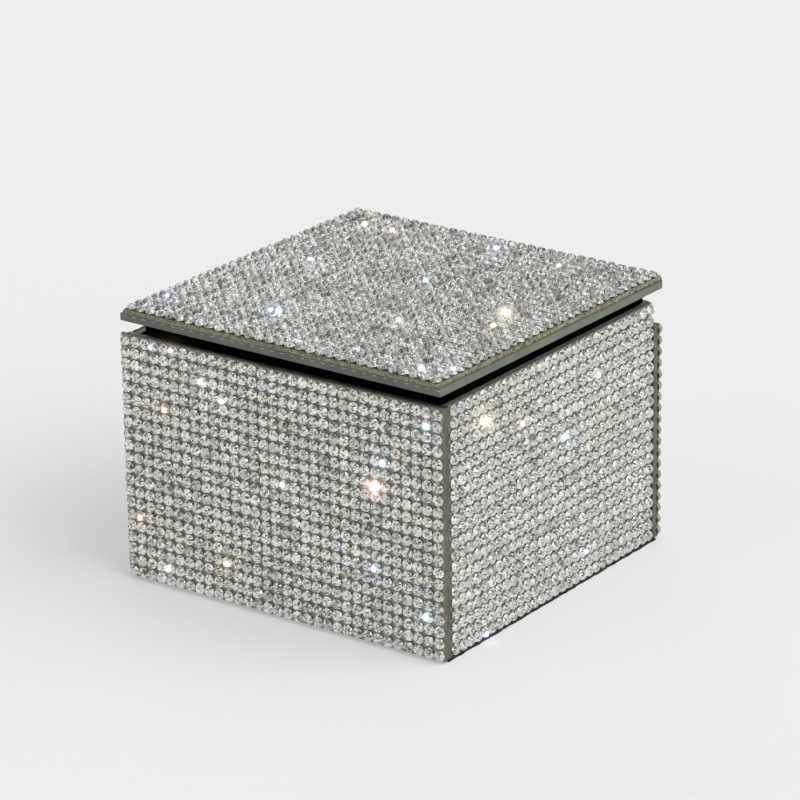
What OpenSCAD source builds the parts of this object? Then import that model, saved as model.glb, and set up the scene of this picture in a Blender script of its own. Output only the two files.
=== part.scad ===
// Hinged trinket box: mirror-glass panels glued over a thin fibreboard carcass, each outer face
// covered with a mesh of round faceted crystals. The lid is a black board under a glass plate.
// X runs to the right, Y from the front to the back, Z up. Millimetres; the table is Z = 0.

/* [Box body] */
// Width of the front and back glass panels
box_w = 98.2; // [80:0.2:130]
// Depth over the outer faces of the front and back glass
box_d = 95.6; // [76:0.2:124]
// Height of the glass panels' top edge above the table
box_h = 66.2; // [45:0.1:95]
// Thickness of every glass panel
glass_t = 2; // [1.5:0.1:3]
// How far the side stones stand out past the ends of the front glass
side_proud = 0.9; // [0.2:0.1:2]
// Thickness of the carcass walls
wall_t = 4; // [3:0.5:6]
// Thickness of the base board
base_t = 3; // [2:0.5:5]
// Thickness of the felt under the base
felt_t = 0.6; // [0.4:0.1:1.5]
// How far the felt reaches past the ends of the front glass
felt_over = 0.4; // [0:0.1:0.8]
// How far the felt stops behind the face of the front and back glass
felt_inset = 0.4; // [0.2:0.1:4]
// How far the back glass stops below the hinge leaves, which clears the open lid too
back_drop = 1.1; // [0.3:0.1:7.3]

/* [Crystal mesh] */
// How far the front and back stone sheets reach past the ends of their glass
sheet_over = 0.4; // [0:0.1:1]
// How far a side sheet stops short of the front and back glass
side_gap = 0.5; // [0.2:0.1:1.5]
// Height of the front's stone sheet above the top of its glass
sheet_rise = 0.2; // [0:0.1:1]
// How far a side's sheet stops below the top of its glass
side_drop = 0.1; // [0.1:0.1:1]
// Thickness of the adhesive film under the mesh
film_t = 0.2; // [0.1:0.05:0.4]
// Thickness of the cup mesh that holds the stones
mesh_t = 1.1; // [0.5:0.1:1.4]
// Height of the stones above the mesh
stone_t = 1.1; // [0.8:0.1:2]
// Stone columns on the front's left sheet
front_left_cols = 14; // [8:1:20]
// Stone columns on the front's right sheet
front_right_cols = 18; // [8:1:24]
// How far the left sheet sits above the right one
sheet_step = 0.2; // [0:0.1:1]
// Gap between the two front sheets
sheet_gap = 0.1; // [0:0.05:0.5]

/* [Lid] */
// Thickness of the black lid board
lid_board_t = 2.5; // [2:0.1:4]
// How far the lid board stops inside the glass plate on each side
lid_margin = 4.4; // [3:0.1:8]
// How far the lid board's front edge stops behind the front glass's face
board_inset = 1.2; // [0.5:0.1:4]
// Sideways offset of the lid board from the middle of the box
lid_board_shift = 2.1; // [-3:0.1:3]
// Height of the closed lid board above the glass panels
lid_gap = 0.3; // [0.2:0.05:1]
// How much wider the lid's glass plate is than the front glass, on each side
lid_over_w = 0.65; // [-1:0.05:3]
// How much deeper the lid's glass plate is than the box over its glass, at each end
lid_over_d = 1.3; // [0:0.1:2]
// Backward offset of the lid glass from the middle of the box
lid_back_shift = 1.6; // [0:0.1:2]
// Sideways offset of the lid glass from the middle of the box
lid_side_shift = -0.9; // [-2:0.1:2]
// How far the lid's stones stop inside the ends of the glass plate
lid_stone_margin = 1; // [0.5:0.1:3]
// How far the lid's stones stop inside the glass plate's front and back edges
lid_stone_inset = 0.3; // [0.1:0.1:3]
// Turn of the glued glass plate on its board, in degrees
lid_yaw = -0.7; // [-1:0.1:1]
// Radius of the lid glass's back corners; the front corners are sharp
lid_corner_r = 1.4; // [0.5:0.1:3]

/* [Lining] */
// Thickness of the velvet on the walls
lining_t = 0.8; // [0.5:0.1:1.5]
// Thickness of the padded floor
cushion_t = 2.2; // [1:0.1:4]
// Gap between the lid's lining and the walls' lining
lining_gap = 1.2; // [0.8:0.1:3]
// Gap between the lid's lining and the hinge leaves let into it
leaf_show = 0.5; // [0.2:0.1:2]
// Drop of the lining's edge below the carcass rim
rim_show = 0.4; // [0.1:0.1:2]

/* [Hinges] */
// Length of each hinge
hinge_len = 18; // [14:1:24]
// Distance of each hinge's middle from the middle of the box
hinge_x = 26; // [18:1:32]
// Radius of the hinge barrel
barrel_r = 1; // [0.9:0.05:1.3]
// Radius of the hinge pin
pin_r = 0.5; // [0.4:0.05:0.6]
// Height of the hinge axis above the lid board's underside
axis_rise = 0.4; // [0.3:0.05:0.6]
// Clearance round the barrel in the back wall's notch
notch_clear = 0.5; // [0.4:0.1:1]
// Gap between the barrel and the lid board
board_clear = 1.5; // [0.4:0.1:2]
// How far a pin's head stands out of its barrel's end
pin_head_t = 0.4; // [0.2:0.1:0.6]
// Running clearance between the lid's knuckle and the pin
pin_clear = 0.05; // [0.03:0.01:0.1]
// Thickness of the hinge leaves
leaf_t = 0.5; // [0.4:0.05:0.8]
// Gap between neighbouring knuckles
knuckle_gap = 0.25; // [0.15:0.05:0.4]
// Depth of the body leaf, down from the barrel
body_leaf_h = 6.4; // [5:0.1:9]
// Reach of the lid leaf, forward from the barrel
lid_leaf_l = 8; // [6:0.5:12]
// Radius of a screw's thread
screw_r = 0.45; // [0.4:0.05:0.6]
// Radius of a screw's countersunk head
screw_head_r = 0.95; // [0.8:0.05:1.2]
// Length of the body screws
body_screw_l = 3; // [2:0.1:3.5]
// Length of the lid screws
lid_screw_l = 2.2; // [1.5:0.1:2.4]
// Distance of a screw from the middle of its hinge
screw_x = 5.5; // [3:0.5:7]

/* [Hidden] */
$fn = 48;
eps = 0.01;
skin_t = film_t + mesh_t + stone_t;
side_x = box_w / 2 + side_proud - skin_t;
wall_x = side_x - glass_t;
wall_y = box_d / 2 - glass_t;
in_x = wall_x - wall_t;
in_y = wall_y - wall_t;
floor_z = felt_t + base_t;
sheet_w = box_w + 2 * sheet_over;
sheet_top = box_h + sheet_rise;
front_pitch = sheet_w / (front_left_cols + front_right_cols);
seam_x = -sheet_w / 2 + front_pitch * front_left_cols;
rim_z = box_h;
board_z = rim_z + lid_gap;
plate_z = board_z + lid_board_t;
top_z = plate_z + glass_t;
lid_w = box_w + 2 * lid_over_w;
lid_d = box_d + 2 * lid_over_d;
board_w = lid_w - 2 * lid_margin;
board_front = -box_d / 2 + board_inset;
axis_y = wall_y + leaf_t - barrel_r;
axis_z = board_z + axis_rise;
board_back = axis_y - barrel_r - board_clear;
notch_z = axis_z - barrel_r - notch_clear;
notch_side = pin_head_t + notch_clear;
knuckle = (hinge_len - 2 * knuckle_gap) / 3;
leaf_low = axis_z - body_leaf_h;
back_top = leaf_low - back_drop;
screw_z = (leaf_low + notch_z) / 2;
lid_leaf_front = axis_y - lid_leaf_l;
lid_screw_y = (lid_leaf_front + board_back) / 2;
leaf_room = hinge_len / 2 + leaf_show;

// Which sub-part to build

// A plain block from its low corner to its high corner.
module block(low, high) {
    translate(low)
        cube(high - low);
}

// One vertical skin layer on the front face: x0..x1 wide, z0..z1 high, d0..d1 out from the glass.
module front_layer(x0, x1, z0, z1, d0, d1) {
    block([x0, -box_d / 2 - d1, z0], [x1, -box_d / 2 - d0, z1]);
}

// One layer of the front's left sheet, which sits a little higher than the right one.
module front_left_sheet(d0, d1) {
    front_layer(-sheet_w / 2, seam_x - sheet_gap / 2, felt_t + sheet_step, sheet_top + sheet_step, d0, d1);
}

// One layer of the front's right sheet.
module front_right_sheet(d0, d1) {
    front_layer(seam_x + sheet_gap / 2, sheet_w / 2, felt_t, sheet_top, d0, d1);
}

// The same over a whole side face; dir is 1 for the right and -1 for the left.
module side_layer(dir, d0, d1) {
    a = dir * (side_x + d0);
    b = dir * (side_x + d1);
    block([min(a, b), -wall_y + side_gap, felt_t], [max(a, b), wall_y - side_gap, box_h - side_drop]);
}

// The same over the back face, w wide.
module back_layer(w, d0, d1) {
    block([-w / 2, box_d / 2 + d0, felt_t], [w / 2, box_d / 2 + d1, back_top]);
}

// Puts a lid layer where the glass plate is glued, with the plate's small turn.
module on_plate() {
    translate([lid_side_shift, lid_back_shift, 0])
        rotate([0, 0, lid_yaw])
            children();
}

// One layer of the lid's stone sheet, from z0 to z1.
module lid_slab(z0, z1) {
    on_plate()
        translate([0, 0, (z0 + z1) / 2])
            cube([lid_w - 2 * lid_stone_margin, lid_d - 2 * lid_stone_inset, z1 - z0], center = true);
}

// A cylinder along X centred on x, on the hinge axis.
module along_x(x, len, r) {
    translate([x - len / 2, axis_y, axis_z])
        rotate([0, 90, 0])
            cylinder(h = len, r = r);
}

// The body's half of a hinge, centred on x.
module body_leaf(x) {
    difference() {
        union() {
            block([x - hinge_len / 2, wall_y, leaf_low], [x + hinge_len / 2, wall_y + leaf_t, notch_z]);
            for (s = [-1, 1]) {
                along_x(x + s * (knuckle + knuckle_gap), knuckle, barrel_r);
                translate([x + s * (knuckle + knuckle_gap) - knuckle / 2, wall_y, leaf_low])
                    cube([knuckle, leaf_t, axis_z - leaf_low]);
            }
        }
        along_x(x, hinge_len + 2, pin_r);
        for (s = [-1, 1])
            translate([x + s * screw_x, wall_y + leaf_t, screw_z])
                rotate([90, 0, 0])
                    screw_shape(leaf_t, 0);
    }
}

// The lid's half of a hinge, centred on x.
module lid_leaf(x) {
    difference() {
        union() {
            block([x - hinge_len / 2, lid_leaf_front, board_z],
                [x + hinge_len / 2, board_back, board_z + leaf_t]);
            block([x - knuckle / 2, board_back - 1, board_z], [x + knuckle / 2, axis_y, board_z + leaf_t]);
            along_x(x, knuckle, barrel_r);
        }
        along_x(x, hinge_len + 2, pin_r + pin_clear);
        for (s = [-1, 1])
            translate([x + s * screw_x, lid_screw_y, board_z])
                screw_shape(leaf_t, 0);
    }
}

// A countersunk screw whose head's face is at the origin and whose thread runs along +Z.
module screw_shape(head_h, len) {
    cylinder(h = head_h, r1 = screw_head_r, r2 = screw_r);
    if (len > 0)
        translate([0, 0, head_h - eps])
            cylinder(h = len - head_h + eps, r = screw_r);
}

// A hinge pin centred on x, with a small head at each end.
module hinge_pin(x) {
    along_x(x, hinge_len, pin_r);
    for (s = [-1, 1])
        along_x(x + s * (hinge_len + pin_head_t) / 2, pin_head_t, pin_r * 1.5);
}

module base_felt() {
    color([0.03, 0.03, 0.03])
        block([-box_w / 2 - felt_over, -box_d / 2 + felt_inset, 0],
            [box_w / 2 + felt_over, box_d / 2 - felt_inset, felt_t]);
}

module base_board() {
    color([0.05, 0.05, 0.05])
        block([-in_x, -in_y, felt_t], [in_x, in_y, floor_z]);
}

module front_wall() {
    color([0.05, 0.05, 0.05])
        block([-wall_x, -wall_y, felt_t], [wall_x, -in_y, rim_z]);
}

module back_wall() {
    color([0.05, 0.05, 0.05])
        difference() {
            block([-wall_x, in_y, felt_t], [wall_x, wall_y, rim_z]);
            for (s = [-1, 1]) {
                block([s * hinge_x - hinge_len / 2 - notch_side, axis_y - barrel_r - notch_clear, notch_z],
                    [s * hinge_x + hinge_len / 2 + notch_side, wall_y + 1, rim_z + 1]);
                for (t = [-1, 1])
                    translate([s * hinge_x + t * screw_x, wall_y + leaf_t - body_screw_l, screw_z])
                        rotate([-90, 0, 0])
                            cylinder(h = body_screw_l, r = screw_r);
            }
        }
}

module left_wall() {
    color([0.05, 0.05, 0.05])
        block([-wall_x, -in_y, felt_t], [-in_x, in_y, rim_z]);
}

module right_wall() {
    color([0.05, 0.05, 0.05])
        block([in_x, -in_y, felt_t], [wall_x, in_y, rim_z]);
}

module front_glass() {
    color([0.62, 0.66, 0.64])
        block([-box_w / 2, -box_d / 2, felt_t], [box_w / 2, -wall_y, box_h]);
}

module back_glass() {
    color([0.62, 0.66, 0.64])
        block([-box_w / 2, wall_y, felt_t], [box_w / 2, box_d / 2, back_top]);
}

module left_glass() {
    color([0.62, 0.66, 0.64])
        block([-side_x, -wall_y, felt_t], [-wall_x, wall_y, box_h]);
}

module right_glass() {
    color([0.62, 0.66, 0.64])
        block([wall_x, -wall_y, felt_t], [side_x, wall_y, box_h]);
}

module front_film() {
    color([0.55, 0.5, 0.36])
        front_layer(-box_w / 2, box_w / 2, felt_t, box_h, 0, film_t);
}

module back_film() {
    color([0.55, 0.5, 0.36])
        back_layer(box_w, 0, film_t);
}

module left_film() {
    color([0.55, 0.5, 0.36])
        side_layer(-1, 0, film_t);
}

module right_film() {
    color([0.55, 0.5, 0.36])
        side_layer(1, 0, film_t);
}

module front_mesh_left() {
    color([0.42, 0.42, 0.4])
        front_left_sheet(film_t, film_t + mesh_t);
}

module front_mesh_right() {
    color([0.42, 0.42, 0.4])
        front_right_sheet(film_t, film_t + mesh_t);
}

module back_mesh() {
    color([0.42, 0.42, 0.4])
        back_layer(sheet_w, film_t, film_t + mesh_t);
}

module left_mesh() {
    color([0.42, 0.42, 0.4])
        side_layer(-1, film_t, film_t + mesh_t);
}

module right_mesh() {
    color([0.42, 0.42, 0.4])
        side_layer(1, film_t, film_t + mesh_t);
}

module front_crystals_left() {
    color([0.86, 0.87, 0.9])
        front_left_sheet(film_t + mesh_t, skin_t);
}

module front_crystals_right() {
    color([0.86, 0.87, 0.9])
        front_right_sheet(film_t + mesh_t, skin_t);
}

module back_crystals() {
    color([0.86, 0.87, 0.9])
        back_layer(sheet_w, film_t + mesh_t, skin_t);
}

module left_crystals() {
    color([0.86, 0.87, 0.9])
        side_layer(-1, film_t + mesh_t, skin_t);
}

module right_crystals() {
    color([0.86, 0.87, 0.9])
        side_layer(1, film_t + mesh_t, skin_t);
}

module front_lining() {
    color([0.08, 0.08, 0.09])
        block([-in_x, -in_y, floor_z], [in_x, -in_y + lining_t, rim_z - rim_show]);
}

module back_lining() {
    color([0.08, 0.08, 0.09])
        block([-in_x, in_y - lining_t, floor_z], [in_x, in_y, rim_z - rim_show]);
}

module left_lining() {
    color([0.08, 0.08, 0.09])
        block([-in_x, -in_y + lining_t, floor_z], [-in_x + lining_t, in_y - lining_t, rim_z - rim_show]);
}

module right_lining() {
    color([0.08, 0.08, 0.09])
        block([in_x - lining_t, -in_y + lining_t, floor_z], [in_x, in_y - lining_t, rim_z - rim_show]);
}

module floor_cushion() {
    color([0.08, 0.08, 0.09])
        block([-in_x + lining_t, -in_y + lining_t, floor_z],
            [in_x - lining_t, in_y - lining_t, floor_z + cushion_t]);
}

module hinge_left_body_leaf() {
    color([0.78, 0.62, 0.3])
        body_leaf(-hinge_x);
}

module hinge_right_body_leaf() {
    color([0.78, 0.62, 0.3])
        body_leaf(hinge_x);
}

module hinge_left_pin() {
    color([0.7, 0.55, 0.26])
        hinge_pin(-hinge_x);
}

module hinge_right_pin() {
    color([0.7, 0.55, 0.26])
        hinge_pin(hinge_x);
}

module hinge_body_screws() {
    color([0.72, 0.57, 0.28])
        for (s = [-1, 1], t = [-1, 1])
            translate([s * hinge_x + t * screw_x, wall_y + leaf_t, screw_z])
                rotate([90, 0, 0])
                    screw_shape(leaf_t, body_screw_l);
}

module lid_board() {
    color([0.03, 0.03, 0.03])
        difference() {
            block([lid_board_shift - board_w / 2, board_front, board_z],
                [lid_board_shift + board_w / 2, board_back, plate_z]);
            for (s = [-1, 1]) {
                block([s * hinge_x - hinge_len / 2, lid_leaf_front, board_z - 1],
                    [s * hinge_x + hinge_len / 2, board_back + 1, board_z + leaf_t]);
                for (t = [-1, 1])
                    translate([s * hinge_x + t * screw_x, lid_screw_y, board_z])
                        cylinder(h = lid_screw_l, r = screw_r);
            }
        }
}

module lid_glass() {
    color([0.62, 0.68, 0.64])
        on_plate()
            translate([0, 0, plate_z])
                linear_extrude(height = glass_t) {
                    offset(r = lid_corner_r)
                        square([lid_w - 2 * lid_corner_r, lid_d - 2 * lid_corner_r], center = true);
                    translate([-lid_w / 2, -lid_d / 2])
                        square([lid_w, lid_d / 2]);
                }
}

module lid_film() {
    color([0.62, 0.52, 0.3])
        lid_slab(top_z, top_z + film_t);
}

module lid_mesh() {
    color([0.42, 0.42, 0.4])
        lid_slab(top_z + film_t, top_z + film_t + mesh_t);
}

module lid_crystals() {
    color([0.86, 0.87, 0.9])
        lid_slab(top_z + film_t + mesh_t, top_z + skin_t);
}

module lid_lining() {
    color([0.08, 0.08, 0.09])
        difference() {
            block([-in_x + lining_t + lining_gap, -in_y + lining_t + lining_gap, board_z - lining_t],
                [in_x - lining_t - lining_gap, in_y - lining_t - lining_gap, board_z]);
            for (s = [-1, 1])
                block([s * hinge_x - leaf_room, lid_leaf_front - leaf_show, board_z - lining_t - 1],
                    [s * hinge_x + leaf_room, in_y, board_z + 1]);
        }
}

module hinge_left_lid_leaf() {
    color([0.78, 0.62, 0.3])
        lid_leaf(-hinge_x);
}

module hinge_right_lid_leaf() {
    color([0.78, 0.62, 0.3])
        lid_leaf(hinge_x);
}

module hinge_lid_screws() {
    color([0.72, 0.57, 0.28])
        for (s = [-1, 1], t = [-1, 1])
            translate([s * hinge_x + t * screw_x, lid_screw_y, board_z])
                screw_shape(leaf_t, lid_screw_l);
}

base_felt();
base_board();
front_wall();
back_wall();
left_wall();
right_wall();
front_glass();
back_glass();
left_glass();
right_glass();
front_film();
back_film();
left_film();
right_film();
front_mesh_left();
front_mesh_right();
back_mesh();
left_mesh();
right_mesh();
front_crystals_left();
front_crystals_right();
back_crystals();
left_crystals();
right_crystals();
front_lining();
back_lining();
left_lining();
right_lining();
floor_cushion();
hinge_left_body_leaf();
hinge_right_body_leaf();
hinge_left_pin();
hinge_right_pin();
hinge_body_screws();
lid_board();
lid_glass();
lid_film();
lid_mesh();
lid_crystals();
lid_lining();
hinge_left_lid_leaf();
hinge_right_lid_leaf();
hinge_lid_screws();
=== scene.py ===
"""Looks of a hinged trinket box covered in crystal mesh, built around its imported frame.

Each face of the box carries a sheet of small cups with one faceted stone in each cup. The sheets, stones,
linings and glass edges are modelled here; sizes and places come from the frame's own nodes.
"""

from __future__ import annotations

import logging
import math
from collections.abc import Iterable, Sequence
from dataclasses import dataclass, field, replace
from enum import Enum

import bmesh
import bpy
import numpy as np
from mathutils import Matrix, Vector, noise

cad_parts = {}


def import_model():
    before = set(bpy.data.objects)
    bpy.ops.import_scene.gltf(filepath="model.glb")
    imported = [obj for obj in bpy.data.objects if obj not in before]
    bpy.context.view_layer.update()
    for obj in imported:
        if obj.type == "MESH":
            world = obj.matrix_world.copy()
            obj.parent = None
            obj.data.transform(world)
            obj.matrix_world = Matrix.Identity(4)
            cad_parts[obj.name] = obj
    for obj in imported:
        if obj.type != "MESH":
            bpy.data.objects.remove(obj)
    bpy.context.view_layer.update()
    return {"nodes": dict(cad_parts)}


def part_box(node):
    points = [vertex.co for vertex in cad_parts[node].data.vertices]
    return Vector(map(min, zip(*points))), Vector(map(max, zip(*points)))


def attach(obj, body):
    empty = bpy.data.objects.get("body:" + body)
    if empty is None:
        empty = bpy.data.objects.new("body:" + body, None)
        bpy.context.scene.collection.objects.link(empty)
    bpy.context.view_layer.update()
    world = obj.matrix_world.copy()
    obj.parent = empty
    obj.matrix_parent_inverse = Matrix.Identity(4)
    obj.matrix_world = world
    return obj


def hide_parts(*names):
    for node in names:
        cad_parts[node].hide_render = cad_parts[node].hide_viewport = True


MM = 0.001
Colour = tuple[float, float, float, float]
log = logging.getLogger("trinket_box")


# ---------------------------------------------------------------------------------------------- tools


def grey(value: float) -> Colour:
    """A neutral opaque colour."""
    return (value, value, value, 1.0)


def piece_from(bm: bmesh.types.BMesh, name: str, outward: bool = True) -> bpy.types.Object:
    """Turns a bmesh into a linked object at the origin.

    Args:
        bm: The finished shape, freed here.
        name: The piece's name.
        outward: Whether the normals are recalculated to point outwards.

    Returns:
        The new object.
    """
    if outward:
        bmesh.ops.recalc_face_normals(bm, faces=bm.faces)
    mesh = bpy.data.meshes.new(name)
    bm.to_mesh(mesh)
    bm.free()
    piece = bpy.data.objects.new(name, mesh)
    bpy.context.scene.collection.objects.link(piece)
    return piece


def settle(piece: bpy.types.Object, body: str, slot: str, *nodes: str) -> bpy.types.Object:
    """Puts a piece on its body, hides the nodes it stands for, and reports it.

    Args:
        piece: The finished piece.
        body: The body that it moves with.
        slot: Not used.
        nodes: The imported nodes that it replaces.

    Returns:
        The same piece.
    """
    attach(piece, body)
    if nodes:
        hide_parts(*nodes)
    log.info("%s: %d faces on %s", piece.name, len(piece.data.polygons), body)
    return piece


def slab(low: Vector, high: Vector) -> bmesh.types.BMesh:
    """A box-shaped bmesh between two corners.

    Args:
        low: The lowest corner, in metres.
        high: The highest corner.

    Returns:
        The new bmesh.
    """
    bm = bmesh.new()
    size = high - low
    place = Matrix.Translation((low + high) / 2) @ Matrix.Diagonal((*size, 1.0))
    bmesh.ops.create_cube(bm, size=1.0, matrix=place)
    return bm


def soften(bm: bmesh.types.BMesh, width: float, segments: int = 2) -> None:
    """Bevels every sharp edge of a shape.

    Args:
        bm: The shape.
        width: The bevel's width in metres.
        segments: How many steps round the bevel.
    """
    sharp = [e for e in bm.edges if len(e.link_faces) == 2 and e.calc_face_angle() > math.radians(30)]
    bmesh.ops.bevel(
        bm, geom=sharp, offset=width, segments=segments, profile=0.5, affect="EDGES", material=-1
    )


def merged_copy(node: bpy.types.Object) -> bmesh.types.BMesh:
    """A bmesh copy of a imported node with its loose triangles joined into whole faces.

    Args:
        node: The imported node.

    Returns:
        The new bmesh.
    """
    bm = bmesh.new()
    bm.from_mesh(node.data)
    bmesh.ops.remove_doubles(bm, verts=bm.verts, dist=0.001 * MM)
    bmesh.ops.dissolve_limit(bm, angle_limit=math.radians(1), verts=bm.verts, edges=bm.edges)
    return bm


def scatter(unit: bpy.types.Mesh, places: Iterable[Matrix], name: str) -> bpy.types.Object:
    """Joins one copy of a small mesh at each place into a single object.

    Args:
        unit: The small mesh.
        places: Where each copy goes, in order.
        name: The new object's name.

    Returns:
        The joined object, whose faces stay in the order of the places.
    """
    bm = bmesh.new()
    for place in places:
        copy = unit.copy()
        copy.transform(place)
        bm.from_mesh(copy)
        bpy.data.meshes.remove(copy)
    return piece_from(bm, name, outward=False)


# ------------------------------------------------------------------------------------------- finishes


class Effect(Enum):
    """Shader node groups that more than one finish uses."""

    MOTTLE = "two colours mottled over the surface"
    GRAIN = "fine relief"
    # The dashes are painted reflections of the stones in the lid glass's edge.
    DASHES = "a row of short marks along X inside one band of height"


# How strongly the painted reflections show.
REFLECTION_DASH_STRENGTH = 0.8
_effects: dict[Effect, bpy.types.NodeTree] = {}


def _group(
    effect: Effect, inputs: Sequence[tuple[str, str, object]], output: tuple[str, str]
) -> tuple[bpy.types.NodeTree, bpy.types.Node, bpy.types.Node]:
    """Starts a node group with named sockets.

    Args:
        effect: Which effect it is.
        inputs: Name, socket type and default value of each input.
        output: Name and socket type of the output.

    Returns:
        The tree with its input and output nodes.
    """
    tree = bpy.data.node_groups.new(effect.name.lower(), "ShaderNodeTree")
    for name, kind, value in inputs:
        socket = tree.interface.new_socket(name, in_out="INPUT", socket_type=kind)
        socket.default_value = value
    tree.interface.new_socket(output[0], in_out="OUTPUT", socket_type=output[1])
    return tree, tree.nodes.new("NodeGroupInput"), tree.nodes.new("NodeGroupOutput")


def _noise(tree: bpy.types.NodeTree, scale: bpy.types.NodeSocket, detail: float) -> bpy.types.NodeSocket:
    """Adds an object-space noise to a tree.

    Args:
        tree: The node tree.
        scale: The socket that gives the noise's scale.
        detail: How many octaves.

    Returns:
        The noise's value socket.
    """
    where = tree.nodes.new("ShaderNodeTexCoord")
    cloud = tree.nodes.new("ShaderNodeTexNoise")
    cloud.inputs["Detail"].default_value = detail
    tree.links.new(where.outputs["Object"], cloud.inputs["Vector"])
    tree.links.new(scale, cloud.inputs["Scale"])
    return cloud.outputs["Fac"]


def _mottle_tree() -> bpy.types.NodeTree:
    """Builds the mottle group: two colours mixed by a soft noise."""
    inputs = (
        ("Scale", "NodeSocketFloat", 200.0),
        ("Low", "NodeSocketColor", grey(0.1)),
        ("High", "NodeSocketColor", grey(0.2)),
    )
    tree, start, end = _group(Effect.MOTTLE, inputs, ("Color", "NodeSocketColor"))
    value = _noise(tree, start.outputs["Scale"], 4.0)
    spread = tree.nodes.new("ShaderNodeMapRange")
    spread.inputs["From Min"].default_value = 0.35
    spread.inputs["From Max"].default_value = 0.65
    blend = tree.nodes.new("ShaderNodeMix")
    blend.data_type = "RGBA"
    tree.links.new(value, spread.inputs["Value"])
    tree.links.new(spread.outputs["Result"], blend.inputs["Factor"])
    tree.links.new(start.outputs["Low"], blend.inputs[6])
    tree.links.new(start.outputs["High"], blend.inputs[7])
    tree.links.new(blend.outputs[2], end.inputs["Color"])
    return tree


def _grain_tree() -> bpy.types.NodeTree:
    """Builds the grain group: a fine noise times a strength, for a bump's height."""
    inputs = (("Scale", "NodeSocketFloat", 2000.0), ("Depth", "NodeSocketFloat", 1.0))
    tree, start, end = _group(Effect.GRAIN, inputs, ("Height", "NodeSocketFloat"))
    value = _noise(tree, start.outputs["Scale"], 6.0)
    times = tree.nodes.new("ShaderNodeMath")
    times.operation = "MULTIPLY"
    tree.links.new(value, times.inputs[0])
    tree.links.new(start.outputs["Depth"], times.inputs[1])
    tree.links.new(times.outputs[0], end.inputs["Height"])
    return tree


def _dashes_tree() -> bpy.types.NodeTree:
    """Builds the dashes group: a mask of short level marks at an even pitch along X, where reflections of
    the stones are painted.
    """
    inputs = (
        ("Pitch", "NodeSocketFloat", 3.1 * MM),
        ("Share", "NodeSocketFloat", 0.3),
        ("Height", "NodeSocketFloat", 0.0),
        ("Thickness", "NodeSocketFloat", 0.1 * MM),
    )
    tree, start, end = _group(Effect.DASHES, inputs, ("Mask", "NodeSocketFloat"))
    where = tree.nodes.new("ShaderNodeTexCoord")
    split = tree.nodes.new("ShaderNodeSeparateXYZ")
    tree.links.new(where.outputs["Object"], split.inputs[0])

    def step(operation: str, first: bpy.types.NodeSocket, second: object) -> bpy.types.NodeSocket:
        node = tree.nodes.new("ShaderNodeMath")
        node.operation = operation
        tree.links.new(first, node.inputs[0])
        if isinstance(second, bpy.types.NodeSocket):
            tree.links.new(second, node.inputs[1])
        else:
            node.inputs[1].default_value = second
        return node.outputs[0]

    along = step("FRACT", step("DIVIDE", split.outputs["X"], start.outputs["Pitch"]), 0.0)
    across = step("LESS_THAN", along, start.outputs["Share"])
    level = step("ABSOLUTE", step("SUBTRACT", split.outputs["Z"], start.outputs["Height"]), 0.0)
    band = step("LESS_THAN", level, start.outputs["Thickness"])
    tree.links.new(step("MULTIPLY", step("MULTIPLY", across, band), REFLECTION_DASH_STRENGTH), end.inputs["Mask"])
    return tree


def effect_tree(effect: Effect) -> bpy.types.NodeTree:
    """Gives an effect's node group, building it the first time.

    Args:
        effect: Which effect.

    Returns:
        The shared node tree.
    """
    if effect not in _effects:
        makers = {Effect.MOTTLE: _mottle_tree, Effect.GRAIN: _grain_tree, Effect.DASHES: _dashes_tree}
        _effects[effect] = makers[effect]()
    return _effects[effect]


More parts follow.
